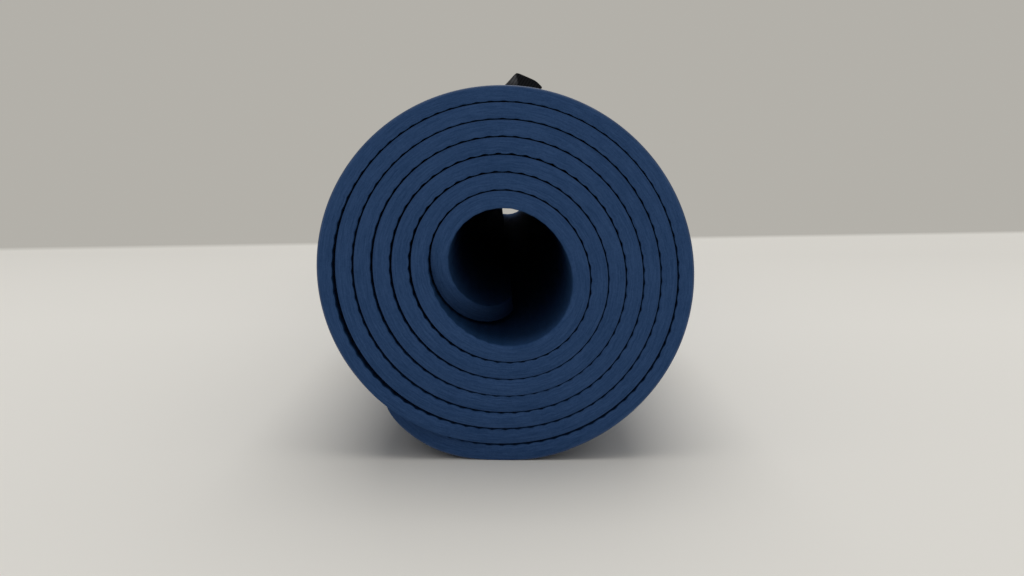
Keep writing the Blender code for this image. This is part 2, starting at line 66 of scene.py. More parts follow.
# Mat, wound as in the CAD
MAT_WIDTH = 0.610
MAT_THICKNESS = 0.00546
BORE_RADIUS = 0.0182
ROLL_TURNS = 7.14
OUTER_END_ANGLE = math.radians(228)
TURN_GAP = 0.00045
LEFT_GAP = 0.0003
LEFT_GAP_ANGLE = math.radians(195)
END_GAP = 0.0008
END_GAP_TURN = 0.93
END_GAP_SPREAD_TURNS = 0.09
OUTER_SHIFT_X = -0.0015
OUTER_SHIFT_Z = 0.0008
CORE_SHIFT_X = 0.0004
CORE_SHIFT_Z = 0.0013
OUTER_OVAL = 0.0006
CORE_OVAL = -0.0005
OUTER_SKEW_OVAL = -0.0003
CORE_SKEW_OVAL = -0.0012
WINDING_BULGE = 0.0005
CORE_CURL = 0.0035
CORE_CURL_TURNS = 0.07
REST_DENT = 0.0012
REST_DENT_SPREAD = math.radians(28)
REST_DENT_FADE_TURNS = 4.0
REST_FLAT_DEPTH = 0.0005
CORNER_RADIUS = 0.025
OUTER_END_SETBACK = 0.004
OUTER_SETBACK_TURNS = 0.13
CORE_SETBACK = 0.020
CORE_SETBACK_TURNS = 0.35
CORE_SETBACK_POWER = 1.2

# Strap, as in the CAD
WEBBING_WIDTH = 0.025
WEBBING_THICKNESS = 0.0012
CLEARANCE = 0.0003
BAND_SPACING = 0.340
BAND_SINK = 0.0018
PATH_SMOOTHING = 0.006
PATH_STEPS = 720
RING_ANGLE = math.radians(45)
RING_BAR_DIAMETER = 0.0032
RING_OPENING = 0.009
RING_SIDE_CLEARANCE = 0.001
RING_CORNER_RADIUS = 0.0026
EYE_SLOPE_LENGTH = 0.007
EYE_TAIL_LENGTH = 0.016
TAB_SLOPE_LENGTH = 0.010
TAB_LENGTH = 0.062
HOOK_START = 0.014
HOOK_LENGTH = 0.040
HOOK_THICKNESS = 0.0010
LOOP_START = 0.012
LOOP_LENGTH = 0.075
LOOP_THICKNESS = 0.0009
PATCH_MARGIN = 0.001
HANDLE_STITCH_INSET = 0.003
SEAM_INSET = 0.0025

# Places of the roll and the bands in the CAD
ROLL_X = -0.0021853
NEAR_END_Y = -0.3101741
MIDDLE_Y = NEAR_END_Y + MAT_WIDTH / 2
SIDES = {"near": -1, "far": 1}

# The mat's edges are rounded, and its skin begins where the rounding ends
MAT_EDGE_RADIUS = 0.00028
SKIN_HEIGHT = MAT_THICKNESS / 2 - MAT_EDGE_RADIUS

turn_pitch = MAT_THICKNESS + TURN_GAP
roll_radius = BORE_RADIUS + MAT_THICKNESS + ROLL_TURNS * turn_pitch


# The rolled mat's shape

def smooth_step(share):
    held = np.clip(share, 0.0, 1.0)
    return held * held * (3.0 - 2.0 * held)


def part_way(first, second, share):
    return first + (second - first) * share


def angle_from(angle, centre):
    return (angle - centre + math.pi) % math.tau - math.pi


def lobe(angle, centre):
    return np.maximum(np.cos(angle_from(angle, centre)), 0.0) ** 2


def turn_angle(turn):
    return OUTER_END_ANGLE + turn * math.tau


def wound_side(turn):
    """Radius that a turn's outward side takes where it lies on the turn outside it."""
    angle = turn_angle(turn)
    inward = turn / ROLL_TURNS
    shift_x = part_way(OUTER_SHIFT_X, CORE_SHIFT_X, inward)
    shift_z = part_way(OUTER_SHIFT_Z, CORE_SHIFT_Z, inward)
    oval = part_way(OUTER_OVAL, CORE_OVAL, inward)
    skew = part_way(OUTER_SKEW_OVAL, CORE_SKEW_OVAL, inward)
    dent_share = np.exp(-(angle_from(angle, -math.pi / 2) / REST_DENT_SPREAD) ** 2)
    dent = REST_DENT * dent_share * np.minimum(turn, 1.0) * np.exp(-turn / REST_DENT_FADE_TURNS)
    radius = roll_radius - turn_pitch * turn - dent
    radius += 4 * WINDING_BULGE * inward * (1 - inward)
    radius += shift_x * np.cos(angle) + shift_z * np.sin(angle)
    return radius + oval * np.cos(2 * angle) + skew * np.sin(2 * angle)


def core_curl(turn):
    return CORE_CURL * np.exp((turn - ROLL_TURNS) / CORE_CURL_TURNS)


def outer_side(turn):
    return wound_side(turn) - core_curl(turn)


def inner_side(turn):
    under_end = np.exp(-((turn - END_GAP_TURN) / END_GAP_SPREAD_TURNS) ** 2)
    gap = TURN_GAP + LEFT_GAP * lobe(turn_angle(turn), LEFT_GAP_ANGLE) + END_GAP * under_end
    return wound_side(turn + 1) + gap - core_curl(turn)


def winding_setback(turn):
    """How far along the roll a turn sits in from the flush end."""
    outer = OUTER_END_SETBACK * smooth_step(1 - turn / OUTER_SETBACK_TURNS)
    into_core = np.clip((turn - ROLL_TURNS) / CORE_SETBACK_TURNS + 1, 0.0, 1.0)
    return outer + CORE_SETBACK * into_core ** CORE_SETBACK_POWER


def corner_setback(from_end, radius):
    """How far a rounded corner takes the long edge in, that far from the mat's end."""
    into_corner = np.clip(radius - from_end, 0.0, radius)
    return radius - np.sqrt(np.maximum(radius ** 2 - into_corner ** 2, 0.0))


def polar(radius, angle):
    return np.stack((radius * np.cos(angle), radius * np.sin(angle)), axis=-1)


# Lines of points

def unit(vectors):
    return vectors / np.linalg.norm(vectors, axis=-1, keepdims=True)


def lengths(points):
    """How far along a line of points each one is."""
    steps = np.linalg.norm(np.diff(points, axis=0), axis=1)
    return np.concatenate(([0.0], np.cumsum(steps)))


def read_off(at, stations, rows):
    """Rows of two values, read off between the stations that they are given for."""
    return np.stack([np.interp(at, stations, rows[:, axis]) for axis in (0, 1)], axis=-1)


def respaced(loop, count):
    """Evenly spaced points along a loop whose last point is its first."""
    reach = lengths(loop)
    return read_off(np.linspace(0, reach[-1], count, endpoint=False), reach, loop)


def loop_normals(loop):
    """Which way is out of a loop that runs anticlockwise, at each of its points."""
    ahead = unit(np.roll(loop, -1, axis=0) - np.roll(loop, 1, axis=0))
    return np.stack((ahead[:, 1], -ahead[:, 0]), axis=1)


# The taut path of the bands

def convex_hull(points):
    ordered = sorted(map(tuple, points))

    def chain(run):
        corners = []
        for point in run:
            while len(corners) > 1:
                (ax, az), (bx, bz) = corners[-2:]
                if (bx - ax) * (point[1] - az) - (bz - az) * (point[0] - ax) > 0:
                    break
                corners.pop()
            corners.append(point)
        return corners[:-1]

    return np.array(chain(ordered) + chain(ordered[::-1]))


class TautPath:
    """The line that a taut band takes round the roll, measured along itself."""

    def __init__(self):
        turns = np.linspace(0, 1, PATH_STEPS)
        hull = convex_hull(polar(outer_side(turns), turn_angle(turns)))
        closed = np.vstack((hull, hull[:1]))
        line = respaced(closed, PATH_STEPS)
        half = max(1, round(PATH_SMOOTHING / (lengths(closed)[-1] / PATH_STEPS) / 2))
        line = sum(np.roll(line, step, axis=0) for step in range(-half, half + 1)) / (2 * half + 1)
        start = int(np.argmin(np.abs(np.arctan2(line[:, 1], line[:, 0]))))
        self.points = np.roll(line, -start, axis=0)
        self.normals = loop_normals(self.points)
        self.stations = lengths(np.vstack((self.points, self.points[:1])))
        self.length = self.stations[-1]
        self.angles = np.unwrap(np.arctan2(self.points[:, 1], self.points[:, 0]))
        self.radii = np.linalg.norm(self.points, axis=1)

    def along_at(self, angle):
        return float(np.interp(angle, self.angles, self.stations[:-1]))

    def radius_at(self, angle):
        first = self.angles[0]
        wrapped = (angle - first) % math.tau + first
        angles = np.append(self.angles, first + math.tau)
        return np.interp(wrapped, angles, np.append(self.radii, self.radii[0]))

    def interpolate(self, values, along):
        return read_off(np.mod(along, self.length), self.stations, np.vstack((values, values[:1])))

    def normal(self, along):
        return unit(self.interpolate(self.normals, along))

    def place(self, along, height):
        """Points (x, z) that far along the path and that high over it, in the roll's axes."""
        along = np.asarray(along, dtype=float)
        height = np.broadcast_to(height, along.shape)
        return self.interpolate(self.points, along) + self.normal(along) * height[..., None]


path = TautPath()
outer_turn = np.linspace(0, 1, PATH_STEPS)
roll_z = -float(polar(outer_side(outer_turn), turn_angle(outer_turn))[:, 1].min()) - REST_FLAT_DEPTH
roll_axis = np.array((ROLL_X, roll_z))

band_height = WEBBING_THICKNESS / 2 - BAND_SINK
band_top = band_height + WEBBING_THICKNESS / 2
bar_radius = RING_BAR_DIAMETER / 2
wrap_radius = bar_radius + CLEARANCE + WEBBING_THICKNESS / 2
bar_height = band_height + wrap_radius
fold_height = bar_height + wrap_radius
sewn_height = band_top + CLEARANCE + WEBBING_THICKNESS / 2
loop_height = band_top + CLEARANCE + LOOP_THICKNESS / 2
hook_height = loop_height + (LOOP_THICKNESS + HOOK_THICKNESS) / 2 + CLEARANCE
tab_height = hook_height + (HOOK_THICKNESS + WEBBING_THICKNESS) / 2 + CLEARANCE

bar_spacing = RING_OPENING + RING_BAR_DIAMETER
ring_along = path.along_at(RING_ANGLE)
eye_along = ring_along + bar_spacing / 2
fold_along = ring_along - bar_spacing / 2
top_along = path.along_at(math.pi / 2)


def band_y(side):
    return MIDDLE_Y + SIDES[side] * BAND_SPACING / 2


# Shader nodes

class Signal:
    """A shader value that Python's operators work on."""

    def __init__(self, nodes, socket):
        self.nodes = nodes
        self.socket = socket

    def math(self, operation, other=0.0, turned=False):
        first, second = (other, self) if turned else (self, other)
        return self.nodes.add("ShaderNodeMath", {"operation": operation}, {0: first, 1: second})

    def __add__(self, other):
        return self.math("ADD", other)

    def __sub__(self, other):
        return self.math("SUBTRACT", other)

    def __rsub__(self, other):
        return self.math("SUBTRACT", other, True)

    def __mul__(self, other):
        return self.math("MULTIPLY", other)

    def __truediv__(self, other):
        return self.math("DIVIDE", other)

    def __mod__(self, other):
        return self.math("FLOORED_MODULO", other)

    def __pow__(self, other):
        return self.math("POWER", other)

    def __abs__(self):
        return self.math("ABSOLUTE")

    __radd__ = __add__


class Nodes:
    """A node tree, and the one way to add to it."""

    def __init__(self, tree):
        self.tree = tree

    def add(self, kind, settings=None, values=None, output=0):
        made = self.tree.nodes.new(kind)
        for name, value in (settings or {}).items():
            setattr(made, name, value)
        for socket, value in (values or {}).items():
            self.feed(made.inputs[socket], value)
        if output is None:
            return [Signal(self, socket) for socket in made.outputs]
        return Signal(self, made.outputs[output])

    def feed(self, socket, value):
        if isinstance(value, Signal):
            self.tree.links.new(value.socket, socket)
        else:
            socket.default_value = value

    def scaled(self, vector, factors):
        return self.add("ShaderNodeVectorMath", {"operation": "MULTIPLY"}, {0: vector, 1: factors})

    def axes(self, vector):
        return self.add("ShaderNodeSeparateXYZ", None, {0: vector}, None)

    def noise(self, vector, scale=1.0, detail=2.0, roughness=0.5):
        return self.add("ShaderNodeTexNoise", None, {
            "Vector": vector, "Scale": scale, "Detail": detail, "Roughness": roughness})

    def between(self, share, first, second):
        """A colour between two others."""
        return self.add("ShaderNodeMix", {"data_type": "RGBA"}, {0: share, 6: first, 7: second}, 2)

    def fit(self, value, low, high, to_low=0.0, to_high=1.0):
        """The value's range from low to high, fitted to another and held there."""
        return self.add("ShaderNodeMapRange", None, {0: value, 1: low, 2: high, 3: to_low, 4: to_high})

    def attribute(self, name, output):
        return self.add("ShaderNodeAttribute", {"attribute_name": name}, None, output)


def colour(red, green, blue):
    return (red, green, blue, 1.0)


class Finish(Nodes):
    """A material round one Principled shader."""

    def __init__(self, name, **constants):
        self.material = bpy.data.materials.new(name)
        self.material.use_nodes = True
        super().__init__(self.material.node_tree)
        self.shader = self.tree.nodes["Principled BSDF"]
        for socket, value in constants.items():
            self.shader.inputs[socket.replace("_", " ")].default_value = value

    def set(self, **values):
        for socket, value in values.items():
            self.feed(self.shader.inputs[socket.replace("_", " ")], value)

    def flat(self):
        return self.attribute("flat", 1)

    def shader_signal(self):
        return Signal(self, self.shader.outputs[0])

    def bump(self, height, distance, strength=1.0):
        self.set(Normal=self.add("ShaderNodeBump", None, {
            "Strength": strength, "Distance": distance, "Height": height}))


WARP_BUNDLE = 0.00156
MELTED_REACH = 0.0011


def foam_finish():
    """Matt closed-cell foam: a fine smooth skin, and cut edges streaked along the sheet.

    The outward skin has a faint gloss, and more of it where it is pressed round at the
    roll's rim, which shows as a light line.
    """
    finish = Finish("foam", Metallic=0.0, Specular_IOR_Level=0.04, Coat_Roughness=0.45)
    flat = finish.flat()
    _, _, height = finish.axes(flat)
    cut = finish.attribute("cut", 2)
    streaks = finish.noise(finish.scaled(flat, (150.0, 150.0, 2200.0)), 1.0, 4.0, 0.7)
    clouds = finish.noise(flat, 26.0, 4.0, 0.6)
    cells = finish.noise(flat, 1500.0, 3.0, 0.7)
    grain = finish.add("ShaderNodeTexVoronoi", {"feature": "F1"}, {"Vector": flat, "Scale": 760.0})
    scuffs = finish.fit(finish.noise(finish.scaled(flat, (9.0, 60.0, 9.0)), 1.0, 5.0, 0.7), 0.56, 0.78)
    skin_share = 1.0 - cut
    tone = 0.5 + (clouds - 0.5) * 0.9 + (cells - 0.5) * (0.5 + cut * 0.7)
    tone += (streaks - 0.5) * cut * 2.6
    # Painted shade: the skin is painted darker in the hollows of its grain; the scuffs are lighter
    tone += (grain - 0.45) * skin_share * -0.7 + scuffs * skin_share * 0.35
    skin = finish.between(tone, colour(0.0200, 0.0520, 0.1360), colour(0.0350, 0.0810, 0.1940))
    edge = finish.between(tone, colour(0.0240, 0.0620, 0.1590), colour(0.0440, 0.0965, 0.2270))
    # Painted shade: the skin on the roll's inward side, inside the bore, is painted darker
    inward = finish.fit(height, -SKIN_HEIGHT - 0.25 * MM, -SKIN_HEIGHT, 1.0, 0.0) * skin_share
    skin_with_painted_shade = finish.between(inward, skin, colour(0.0140, 0.0460, 0.1200))
    finish.set(Base_Color=finish.between(cut, skin_with_painted_shade, edge))
    finish.set(Roughness=finish.fit(cells, 0.3, 0.7, 0.72, 0.90) + cut * 0.08 + inward * 0.2)
    outward = finish.fit(height, SKIN_HEIGHT, SKIN_HEIGHT + 0.20 * MM)
    finish.set(Coat_Weight=outward * (finish.attribute("rim", 2) * 0.88 + 0.12))
    relief = cells * 0.3 - grain * skin_share * 1.2 + streaks * cut * 0.9
    finish.bump(relief, 0.24 * MM, 0.8)
    return finish.material


def webbing_finish():
    """Black woven webbing: warp in bundles, crossed by weft, melted where cut, and painted lighter grey
    on the handle's left flank as a painted sheen.
    """
    finish = Finish("webbing", Metallic=0.0, Specular_IOR_Level=0.0)
    flat = finish.flat()
    along, across, _ = finish.axes(flat)
    across_place = across / WARP_BUNDLE
    stagger = (across_place.math("FLOOR") % 2.0) * 0.5
    along_place = along / (2 * WARP_BUNDLE) + stagger
    ridge = abs((across_place * math.pi).math("SINE"))
    float_over = abs((along_place * math.pi).math("SINE")) ** 0.6
    fibre = finish.noise(finish.scaled(flat, (700.0, 9000.0, 700.0)), 1.0, 2.0, 0.6)
    worn = finish.noise(flat, 60.0, 2.0, 0.5)
    weave = ridge ** 0.7 * float_over
    tone = finish.fit(weave * 0.75 + fibre * 0.35 + (worn - 0.5) * 0.3, 0.05, 1.1)
    from_cut = finish.attribute("from_cut", 2) + fibre * (0.8 * MM)
    melted = finish.fit(from_cut, MELTED_REACH, MELTED_REACH + 0.6 * MM, 1.0, 0.0)
    black = finish.between(tone, colour(0.0030, 0.0030, 0.0036), colour(0.0125, 0.0127, 0.0142))
    # Painted sheen: the lighter grey that the handle's left flank is painted with
    painted_sheen = finish.between(tone, colour(0.0200, 0.0200, 0.0210), colour(0.0800, 0.0800, 0.0830))
    woven = finish.between(finish.attribute("painted_sheen", 2), black, painted_sheen)
    finish.set(Base_Color=finish.between(melted, woven, colour(0.0140, 0.0135, 0.0130)))
    finish.set(Roughness=finish.fit(fibre, 0.3, 0.7, 0.62, 0.85) - melted * 0.35)
    finish.bump((weave + fibre * 0.25) * (1.0 - melted * 0.8), 0.28 * MM, 0.9)
    return finish.material


def plastic_finish():
    """Black moulded plastic with a fine spark-eroded grain."""
    finish = Finish("ring_plastic", Metallic=0.0)
    place = finish.add("ShaderNodeTexCoord", None, None, "Object")
    grain = finish.noise(place, 5200.0, 2.0, 0.6)
    scuffs = finish.noise(place, 420.0, 3.0, 0.6)
    dark, light = colour(0.0090, 0.0090, 0.0098), colour(0.0190, 0.0190, 0.0200)
    finish.set(Base_Color=finish.between(scuffs, dark, light))
    finish.set(Roughness=finish.fit(scuffs, 0.35, 0.70, 0.38, 0.56))
    finish.bump(grain, 0.05 * MM, 0.5)
    return finish.material


def tape_finish(name, dark, light, roughness):
    """Black touch tape: a knitted ground under its hooks or its pile."""
    finish = Finish(name, Metallic=0.0, Specular_IOR_Level=0.15)
    tufts = finish.noise(finish.flat(), 1500.0, 3.0, 0.7)
    finish.set(Base_Color=finish.between(tufts, dark, light))
    finish.set(Roughness=finish.fit(tufts, 0.2, 0.8, roughness - 0.1, roughness))
    finish.bump(tufts, 0.3 * MM, 0.8)
    return finish.material


def thread_finish():
    """Black twisted polyester thread, a little brighter than the webbing."""
    finish = Finish("thread", Metallic=0.0, Specular_IOR_Level=0.3)
    along, around, _ = finish.axes(finish.flat())
    plies = (along * 9000.0 + around * 2.0).math("SINE")
    dark, light = colour(0.0120, 0.0120, 0.0130), colour(0.0520, 0.0520, 0.0550)
    finish.set(Base_Color=finish.between(finish.fit(plies, -1.0, 1.0), dark, light))
    finish.set(Roughness=finish.fit(plies, -1.0, 1.0, 0.62, 0.48))
    finish.bump(plies, 0.05 * MM, 0.6)
    return finish.material


FOAM = foam_finish()
WEBBING = webbing_finish()
RING_PLASTIC = plastic_finish()
HOOK_TAPE = tape_finish(
    "hook_tape", colour(0.0050, 0.0050, 0.0055), colour(0.0170, 0.0170, 0.0180), 0.60)
LOOP_TAPE = tape_finish(
    "loop_tape", colour(0.0060, 0.0060, 0.0066), colour(0.0240, 0.0240, 0.0255), 0.95)
THREAD = thread_finish()


# Blanks, and how they are laid

def blank(length, width, thickness, steps, edge_radius, edge_steps, across_steps=1):
    """A flat closed strip: x from 0 to length, y and z about zero, its long edges rounded."""
    bm = bmesh.new()
    bmesh.ops.create_cube(bm, size=1.0)
    bmesh.ops.translate(bm, verts=bm.verts, vec=(0.5, 0.0, 0.0))
    bmesh.ops.scale(bm, verts=bm.verts, vec=(length, width, thickness))
    long_edges = [edge for edge in bm.edges if edge.calc_length() > 0.99 * length]
    bmesh.ops.bevel(bm, geom=long_edges, offset=edge_radius, offset_type="OFFSET", affect="EDGES",
                    segments=edge_steps, profile=0.5, material=-1)
    for step in range(1, across_steps):
        place = width * (step / across_steps - 0.5)
        geometry = bm.verts[:] + bm.edges[:] + bm.faces[:]
        bmesh.ops.bisect_plane(bm, geom=geometry, plane_co=(0, place, 0), plane_no=(0, 1, 0))
    lengthwise = [edge for edge in bm.edges
                  if abs(edge.verts[0].co.x - edge.verts[1].co.x) > 0.99 * length]
    bmesh.ops.subdivide_edges(bm, edges=lengthwise, cuts=steps - 1, use_grid_fill=True)
    bmesh.ops.recalc_face_normals(bm, faces=bm.faces)
    return bm


def linked(name, data):
    made = bpy.data.objects.new(name, data)
    bpy.context.scene.collection.objects.link(made)
    return made


def finished(name, bm, material, sharp=35.0):
    """The piece's object. Its flat coordinates are kept before anything bends it."""
    data = bpy.data.meshes.new(name)
    bm.to_mesh(data)
    bm.free()
    data.materials.append(material)
    data.shade_smooth()
    data.set_sharp_from_angle(angle=math.radians(sharp))
    flat = np.empty(len(data.vertices) * 3)
    data.vertices.foreach_get("co", flat)
    kept = data.attributes.new("flat", "FLOAT_VECTOR", "POINT")
    kept.data.foreach_set("vector", flat)
    return linked(name, data), flat.reshape(-1, 3)


def keep(piece, name, values):
    """Keep a value for each point, which the piece's material reads."""
    kept = piece.data.attributes.new(name, "FLOAT", "POINT")
    kept.data.foreach_set("value", values)


def move_to(piece, points):
    piece.data.vertices.foreach_set("co", np.asarray(points, dtype=float).ravel())
    piece.data.update()


def wear(piece, body, slot, *nodes):
    """The piece moves with the body and stands for the nodes. The slot is not used."""
    if body:
        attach(piece, body)
    if nodes:
        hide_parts(*nodes)


def lay_along(flat, route, centre_y, end_normal):
    """Flat strip points laid along a route of (x, z) points in the roll's axes.

    end_normal is the way that the strip's upper side faces at the route's last point.
    """
    ahead = unit(np.gradient(route, axis=0))
    up = np.stack((-ahead[:, 1], ahead[:, 0]), axis=1)
    if np.dot(up[-1], end_normal) < 0:
        up = -up
    share = flat[:, 0] / flat[:, 0].max() * (len(route) - 1)
    index = np.arange(len(route))
    xz = read_off(share, index, route) + unit(read_off(share, index, up)) * flat[:, 2:3] + roll_axis
    return np.stack((xz[:, 0], centre_y + flat[:, 1], xz[:, 1]), axis=1)


# Mat

RIB_PITCH = 0.00475
RIB_STEPS = 6
RIB_DEPTH = 0.00038
END_BEVEL = 0.0003
TINY = 1e-7
RIM_RADIUS = 0.00055
RIM_CUTS = (0.00008, 0.00017, 0.00027)
RIM_END_TURN = 0.99
RIM_FADE_TURNS = 0.03

# Waves along the sheet, each with its rate, its phase and its share
SIDE_WAVES = ((31.0, 0.0, 1.0), (73.0, 1.3, 0.6), (140.0, 0.4, 0.4))
RIB_WAVES = ((17.0, 0.8, 0.7), (47.0, 2.0, 0.3))
SIDE_WAVE_SIZE = 0.000132
SIDE_WAVE_REACH = MAT_WIDTH / 20
OUTER_WAVE_SIZE = 0.00022
OUTER_WAVE_REACH = MAT_WIDTH / 12
OUTER_WAVE_END_TURN = 1.1
OUTER_WAVE_FADE_TURNS = 0.2

# The bands press the outermost turn in under them and a little beside them, and it is cut
# finer there, at these places from the middle of a band
PRESSED_TURNS = 1.16
PRESSED_CLEAR = 0.00004
DENT_SHOULDER = 0.004
DENT_FADE = 0.0022
DENT_REACH = 0.024
BAND_CUTS = MM * np.array(
    (0.0, 6.0, 11.0, 12.3, 12.9, 13.5, 14.3, 15.3, 16.6, 18.2, 20.5, 23.5, 28.0, 36.0))
EVEN_CUTS = np.linspace(-0.30, 0.30, 41)

# How much closer or looser the turns lie than the CAD's even gap
TURNS_CLOSER = 0.00012
CLOSER_FADE_TURNS = 0.15
DEEP_TURN = 1.2
DEEP_FADE_TURNS = 1.5
BOTTOM_CLOSER = 0.00022
BOTTOM_ANGLE = math.radians(280)
TIGHTEST_TURN = 3.3
TIGHTEST_SPREAD_TURNS = 0.8
LEFT_LOOSER = 0.00016
LEFT_ANGLE = math.radians(195)
LEFT_END_TURN = 5.6
END_LOOSER = 0.00022
END_LOOSE_ANGLE = math.radians(305)
END_LOOSE_FADE_TURNS = 0.4

# Towards the far end the core sits off the middle, and its end isn't cut square
CORE_DRIFT_X = -0.0052
CORE_DRIFT_Z = 0.0062
DRIFT_OUTER_RADIUS = 0.060
DRIFT_CORE_RADIUS = 0.016
CORE_END_SKEW = 0.0050
CORE_SKEW_REACH = 0.060

# The innermost turn is a little thicker, with rounder edges and shallower ribs, and its
# near corner is worn rounder
CORE_THICKER = 0.00035
THICKER_FADE_TURNS = 0.1
CORE_EDGE_RADIUS = 0.0010
CORE_EDGE_CUTS = (0.0004, 0.0006, 0.0008)
CORE_EDGE_START = 6.03
CORE_EDGE_TURNS = 0.13
CORE_RIB_SHARE = 0.3
CORE_CORNER_RADIUS = 0.036
CORE_CORNER_TURNS = 0.5
CORE_CORNER_FADE_TURNS = 0.2

# Where the foam lies on the table its underside is rounded off and stays clear by this much
TABLE_CLEAR = 0.0001
TABLE_ROUNDING = 0.00035
TABLE_REACH = 0.004


def sheet_table():
    """Turns, and how far along the sheet each is."""
    turns = np.linspace(0, ROLL_TURNS, 8000)
    middle = polar((outer_side(turns) + inner_side(turns)) / 2, turn_angle(turns))
    return turns, lengths(middle)


def turns_closer(turn):
    """How much nearer the next turn in lies than in the CAD."""
    angle = turn_angle(turn)
    deep = smooth_step((turn - DEEP_TURN) / DEEP_FADE_TURNS)
    tightest = np.exp(-((turn - TIGHTEST_TURN) / TIGHTEST_SPREAD_TURNS) ** 2)
    bottom = lobe(angle, BOTTOM_ANGLE) * deep * (0.6 + 0.5 * tightest)
    left = lobe(angle, LEFT_ANGLE) * deep * smooth_step(LEFT_END_TURN - turn)
    first = lobe(angle, END_LOOSE_ANGLE) * smooth_step((1.0 - turn) / END_LOOSE_FADE_TURNS)
    return TURNS_CLOSER + BOTTOM_CLOSER * bottom - LEFT_LOOSER * left - END_LOOSER * first


def mirrored(places):
    return [sign * place for place in places for sign in (-1, 1)]


def cut_lengthwise(bm, facing, chosen, places):
    """Cut the upward or downward faces of part of a blank along it at these places across."""
    faces = [face for face in bm.faces
             if face.normal.z * facing > 0.9 and chosen(face.calc_center_median().x)]
    around = dict.fromkeys(item for face in faces for item in (*face.verts, *face.edges))
    geometry = list(around) + faces
    for place in places:
        cut = bmesh.ops.bisect_plane(bm, geom=geometry, plane_co=(0, place, 0), plane_no=(0, 1, 0))
        geometry = cut["geom"]


def mat_blank(turn_table, length_table, ribs):
    """The sheet laid out flat, cut finer along it where the bands and the rims need that."""
    sheet_length = float(length_table[-1])
    bm = blank(sheet_length, MAT_WIDTH, MAT_THICKNESS, ribs * RIB_STEPS, MAT_EDGE_RADIUS, 2)

    def at_end(edge):
        return all(vert.co.x < TINY or vert.co.x > sheet_length - TINY for vert in edge.verts)

    end_edges = [edge for edge in bm.edges if at_end(edge)
                 and abs(edge.link_faces[0].normal.x - edge.link_faces[1].normal.x) > 0.5]
    bmesh.ops.bevel(bm, geom=end_edges, offset=END_BEVEL, offset_type="OFFSET", affect="EDGES",
                    segments=1, profile=0.5, material=-1, clamp_overlap=True)
    pressed_length = float(np.interp(PRESSED_TURNS, turn_table, length_table))
    places = {round(float(place), 6) for place in EVEN_CUTS}
    for side in SIDES:
        centre = band_y(side) - MIDDLE_Y
        places.update(round(float(centre + offset), 6) for offset in mirrored(BAND_CUTS))
    places.update(mirrored(MAT_WIDTH / 2 - MAT_EDGE_RADIUS - place for place in RIM_CUTS))
    cut_lengthwise(bm, 1, lambda x: x < pressed_length, sorted(places))
    core_length = float(np.interp(CORE_EDGE_START, turn_table, length_table))
    edge_places = mirrored(MAT_WIDTH / 2 - place for place in CORE_EDGE_CUTS)
    cut_lengthwise(bm, -1, lambda x: x > core_length, edge_places)
    return bm


def waves(along, rows):
    return sum(share * np.sin(along * rate + phase) for rate, phase, share in rows)


def swell(along, across):
    """Slow waves over the sheet, lengthwise and across."""
    crossed = np.sin(across * 57.0 + along * 23.0) * np.sin(along * 61.0 - across * 19.0 + 1.0)
    return crossed + 0.6 * np.sin(across * 103.0 - along * 41.0 + 2.0)


def rib_height(along, sheet_length, ribs):
    """How far the ribs stand out of the inward side: a little uneven in depth and pitch."""
    uneven = waves(along, RIB_WAVES)
    phase = along / sheet_length * ribs * math.tau + 1.1 * np.sin(along * 29.0) + 0.8 * uneven
    return RIB_DEPTH * (0.5 - 0.5 * np.cos(phase)) ** 2 * (0.78 + 0.30 * uneven)


def pressed_in(outer, turn, y):
    """The outward side where the taut bands lie on it."""
    limit = np.full(len(outer), np.inf)
    taut = path.radius_at(turn_angle(turn)) - BAND_SINK - PRESSED_CLEAR
    for side in SIDES:
        beside = np.abs(y - band_y(side)) - WEBBING_WIDTH / 2 - CLEARANCE
        rising = DENT_FADE * (1 - np.exp(-np.maximum(beside, 0.0) / DENT_SHOULDER))
        limit = np.minimum(limit, np.where(beside < DENT_REACH, taut + rising, np.inf))
    return np.where(turn < PRESSED_TURNS, np.minimum(outer, limit), outer)


